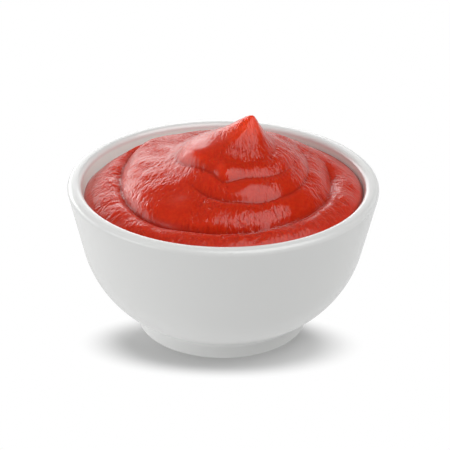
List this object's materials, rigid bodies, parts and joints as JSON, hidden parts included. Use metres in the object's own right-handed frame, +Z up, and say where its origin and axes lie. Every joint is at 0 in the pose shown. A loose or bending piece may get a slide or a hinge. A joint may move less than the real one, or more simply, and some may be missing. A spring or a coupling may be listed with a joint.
{
  "type": "bowl of ketchup",
  "caption": "Small round white ceramic dip bowl on a foot ring, filled with thick tomato ketchup whose rolled layers wind up to an off-centre blunt peak.",
  "frame": {"origin": "centre of the foot ring's underside, on the surface that the bowl stands on", "axes": "+Z up along the bowl's axis; the swirl's front, where its upper layer tucks under itself, faces -Y; +X to the right"},
  "size_m": [0.0898, 0.0898, 0.0638],
  "materials": {
    "glazed_white": "smooth glossy white glaze",
    "ketchup": null
  },
  "bodies": {
    "root": {"bowl": "glazed_white", "ketchup": "ketchup"}
  },
  "joints": []
}
